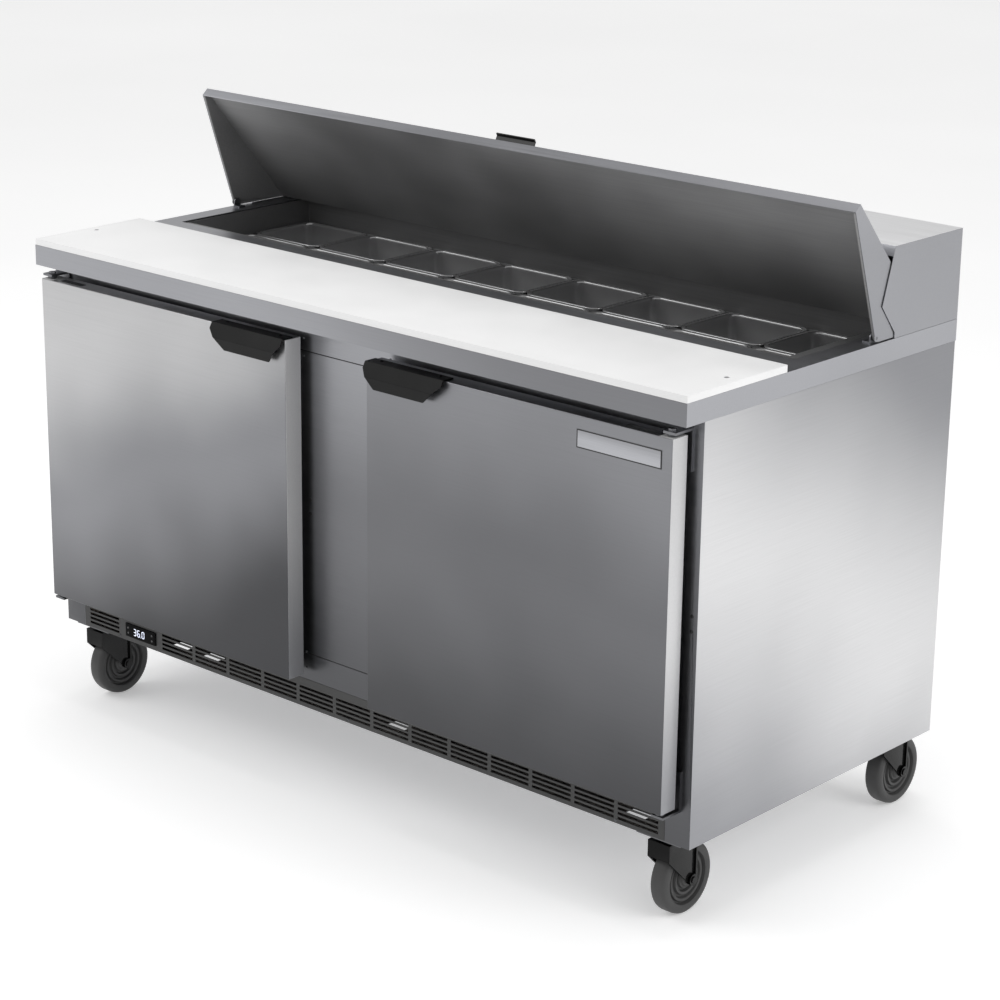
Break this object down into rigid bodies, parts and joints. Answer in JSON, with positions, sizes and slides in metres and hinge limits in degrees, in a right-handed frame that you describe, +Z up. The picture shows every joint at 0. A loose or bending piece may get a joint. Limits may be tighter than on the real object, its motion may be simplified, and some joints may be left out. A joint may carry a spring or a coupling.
{
  "type": "sandwich_prep_table",
  "caption": "Refrigerated two-door sandwich prep table on swivel casters, with a hinged insulated lid over sixth-size pans and a full-width cutting board.",
  "frame": {"origin": "bottom centre of the table's overall box, on the floor", "axes": "+X right along the front, +Y to the back, +Z up"},
  "size_m": [1.524, 0.8, 1.1365],
  "materials": {
    "brushed_steel": "satin",
    "bright_steel": "satin",
    "door_steel": "satin",
    "galvanised": "satin",
    "liner_aluminium": "satin",
    "insulation": "matte",
    "well_steel": "satin",
    "pan_steel": "satin",
    "board_white": "matte",
    "lid_steel": "satin",
    "black_plastic": "satin",
    "black_coated": "satin",
    "zinc_steel": "satin",
    "gasket_rubber": "matte",
    "grille_grey": "satin",
    "display_black": "gloss",
    "shelf_white": "satin",
    "machine_black": "satin",
    "coil_aluminium": "satin",
    "fork_black": "gloss",
    "wheel_rubber": "matte"
  },
  "bodies": {
    "cabinet": {"side_panels": "bright_steel", "back_panel": "galvanised", "base_pan": "galvanised", "front_frame": "brushed_steel", "cabinet_liner": "liner_aluminium", "cabinet_foam": "insulation", "worktop": "brushed_steel", "pan_well": "well_steel", "rear_hood": "brushed_steel", "lid_hinge_pins": "zinc_steel", "door_hinges": "zinc_steel", "lower_grille": "grille_grey", "display_controller": "display_black", "compressor": "machine_black", "condenser_unit": "coil_aluminium", "evaporator_unit": "coil_aluminium", "cord_gland": "black_plastic", "caster_plates": "zinc_steel"},
    "lid": {"lid_shell": "brushed_steel", "lid_liner": "lid_steel", "lid_handle": "black_plastic"},
    "left_door": {"left_door_skin": "door_steel", "left_door_core": "liner_aluminium", "left_door_gasket": "gasket_rubber", "left_door_handle": "black_coated"},
    "right_door": {"right_door_skin": "door_steel", "right_door_core": "liner_aluminium", "right_door_gasket": "gasket_rubber", "right_door_handle": "black_coated"},
    "board": {"cutting_board": "board_white"},
    "pan_01_body": {"pan_01": "pan_steel"},
    "pan_02_body": {"pan_02": "pan_steel"},
    "pan_03_body": {"pan_03": "pan_steel"},
    "pan_04_body": {"pan_04": "pan_steel"},
    "pan_05_body": {"pan_05": "pan_steel"},
    "pan_06_body": {"pan_06": "pan_steel"},
    "pan_07_body": {"pan_07": "pan_steel"},
    "pan_08_body": {"pan_08": "pan_steel"},
    "pan_09_body": {"pan_09": "pan_steel"},
    "pan_10_body": {"pan_10": "pan_steel"},
    "pan_11_body": {"pan_11": "pan_steel"},
    "pan_12_body": {"pan_12": "pan_steel"},
    "pan_13_body": {"pan_13": "pan_steel"},
    "pan_14_body": {"pan_14": "pan_steel"},
    "pan_15_body": {"pan_15": "pan_steel"},
    "pan_16_body": {"pan_16": "pan_steel"},
    "left_shelf_body": {"left_shelf": "shelf_white"},
    "right_shelf_body": {"right_shelf": "shelf_white"},
    "front_left_swivel": {"front_left_fork": "fork_black"},
    "front_left_roller": {"front_left_wheel": "wheel_rubber"},
    "back_left_swivel": {"back_left_fork": "fork_black"},
    "back_left_roller": {"back_left_wheel": "wheel_rubber"},
    "left_brake": {"left_brake_lever": "machine_black"},
    "front_right_swivel": {"front_right_fork": "fork_black"},
    "front_right_roller": {"front_right_wheel": "wheel_rubber"},
    "back_right_swivel": {"back_right_fork": "fork_black"},
    "back_right_roller": {"back_right_wheel": "wheel_rubber"},
    "right_brake": {"right_brake_lever": "machine_black"},
    "condenser_blades": {"condenser_fan": "black_plastic"},
    "evaporator_blades": {"evaporator_fan": "black_plastic"}
  },
  "joints": [
    {"name": "lid_hinge", "type": "hinge", "parent": "cabinet", "child": "lid", "pos_m": [0, 0.1175, 0.903], "axis": [-1, 0, 0], "range_deg": [-71.4, 0]},
    {"name": "left_door_hinge", "type": "hinge", "parent": "cabinet", "child": "left_door", "pos_m": [-0.728, -0.3675, 0.219], "axis": [0, 0, -1], "range_deg": [0, 110]},
    {"name": "right_door_hinge", "type": "hinge", "parent": "cabinet", "child": "right_door", "pos_m": [0.728, -0.3675, 0.219], "axis": [0, 0, 1], "range_deg": [0, 110]},
    {"name": "board_lift", "type": "slide", "parent": "cabinet", "child": "board", "axis": [0, 0, 1], "range_m": [0, 0.03]},
    {"name": "pan_01_lift", "type": "slide", "parent": "cabinet", "child": "pan_01_body", "axis": [0, 0, 1], "range_m": [0, 0.045]},
    {"name": "pan_02_lift", "type": "slide", "parent": "cabinet", "child": "pan_02_body", "axis": [0, 0, 1], "range_m": [0, 0.045]},
    {"name": "pan_03_lift", "type": "slide", "parent": "cabinet", "child": "pan_03_body", "axis": [0, 0, 1], "range_m": [0, 0.045]},
    {"name": "pan_04_lift", "type": "slide", "parent": "cabinet", "child": "pan_04_body", "axis": [0, 0, 1], "range_m": [0, 0.045]},
    {"name": "pan_05_lift", "type": "slide", "parent": "cabinet", "child": "pan_05_body", "axis": [0, 0, 1], "range_m": [0, 0.045]},
    {"name": "pan_06_lift", "type": "slide", "parent": "cabinet", "child": "pan_06_body", "axis": [0, 0, 1], "range_m": [0, 0.045]},
    {"name": "pan_07_lift", "type": "slide", "parent": "cabinet", "child": "pan_07_body", "axis": [0, 0, 1], "range_m": [0, 0.045]},
    {"name": "pan_08_lift", "type": "slide", "parent": "cabinet", "child": "pan_08_body", "axis": [0, 0, 1], "range_m": [0, 0.045]},
    {"name": "pan_09_lift", "type": "slide", "parent": "cabinet", "child": "pan_09_body", "axis": [0, 0, 1], "range_m": [0, 0.15]},
    {"name": "pan_10_lift", "type": "slide", "parent": "cabinet", "child": "pan_10_body", "axis": [0, 0, 1], "range_m": [0, 0.15]},
    {"name": "pan_11_lift", "type": "slide", "parent": "cabinet", "child": "pan_11_body", "axis": [0, 0, 1], "range_m": [0, 0.15]},
    {"name": "pan_12_lift", "type": "slide", "parent": "cabinet", "child": "pan_12_body", "axis": [0, 0, 1], "range_m": [0, 0.15]},
    {"name": "pan_13_lift", "type": "slide", "parent": "cabinet", "child": "pan_13_body", "axis": [0, 0, 1], "range_m": [0, 0.15]},
    {"name": "pan_14_lift", "type": "slide", "parent": "cabinet", "child": "pan_14_body", "axis": [0, 0, 1], "range_m": [0, 0.15]},
    {"name": "pan_15_lift", "type": "slide", "parent": "cabinet", "child": "pan_15_body", "axis": [0, 0, 1], "range_m": [0, 0.15]},
    {"name": "pan_16_lift", "type": "slide", "parent": "cabinet", "child": "pan_16_body", "axis": [0, 0, 1], "range_m": [0, 0.15]},
    {"name": "left_shelf_lift", "type": "slide", "parent": "cabinet", "child": "left_shelf_body", "axis": [0, 0, 1], "range_m": [0, 0.03]},
    {"name": "right_shelf_lift", "type": "slide", "parent": "cabinet", "child": "right_shelf_body", "axis": [0, 0, 1], "range_m": [0, 0.03]},
    {"name": "front_left_swivel_turn", "type": "hinge", "parent": "cabinet", "child": "front_left_swivel", "pos_m": [-0.695, -0.2955, 0.14], "axis": [0, 0, 1], "continuous": true},
    {"name": "front_left_wheel_roll", "type": "hinge", "parent": "front_left_swivel", "child": "front_left_roller", "pos_m": [-0.695, -0.2655, 0.0625], "axis": [1, 0, 0], "continuous": true},
    {"name": "back_left_swivel_turn", "type": "hinge", "parent": "cabinet", "child": "back_left_swivel", "pos_m": [-0.695, 0.3075, 0.14], "axis": [0, 0, 1], "continuous": true},
    {"name": "back_left_wheel_roll", "type": "hinge", "parent": "back_left_swivel", "child": "back_left_roller", "pos_m": [-0.695, 0.3375, 0.0625], "axis": [1, 0, 0], "continuous": true},
    {"name": "left_brake_press", "type": "hinge", "parent": "front_left_swivel", "child": "left_brake", "pos_m": [-0.695, -0.2755, 0.131], "axis": [1, 0, 0], "range_deg": [-12, 0]},
    {"name": "front_right_swivel_turn", "type": "hinge", "parent": "cabinet", "child": "front_right_swivel", "pos_m": [0.695, -0.2955, 0.14], "axis": [0, 0, 1], "continuous": true},
    {"name": "front_right_wheel_roll", "type": "hinge", "parent": "front_right_swivel", "child": "front_right_roller", "pos_m": [0.695, -0.2655, 0.0625], "axis": [1, 0, 0], "continuous": true},
    {"name": "back_right_swivel_turn", "type": "hinge", "parent": "cabinet", "child": "back_right_swivel", "pos_m": [0.695, 0.3075, 0.14], "axis": [0, 0, 1], "continuous": true},
    {"name": "back_right_wheel_roll", "type": "hinge", "parent": "back_right_swivel", "child": "back_right_roller", "pos_m": [0.695, 0.3375, 0.0625], "axis": [1, 0, 0], "continuous": true},
    {"name": "right_brake_press", "type": "hinge", "parent": "front_right_swivel", "child": "right_brake", "pos_m": [0.695, -0.2755, 0.131], "axis": [1, 0, 0], "range_deg": [-12, 0]},
    {"name": "condenser_fan_spin", "type": "hinge", "parent": "cabinet", "child": "condenser_blades", "pos_m": [0.3, 0.2035, 0.2675], "axis": [0, 1, 0], "continuous": true},
    {"name": "evaporator_fan_spin", "type": "hinge", "parent": "cabinet", "child": "evaporator_blades", "pos_m": [0, 0.1475, 0.594], "axis": [0, 1, 0], "continuous": true}
  ]
}
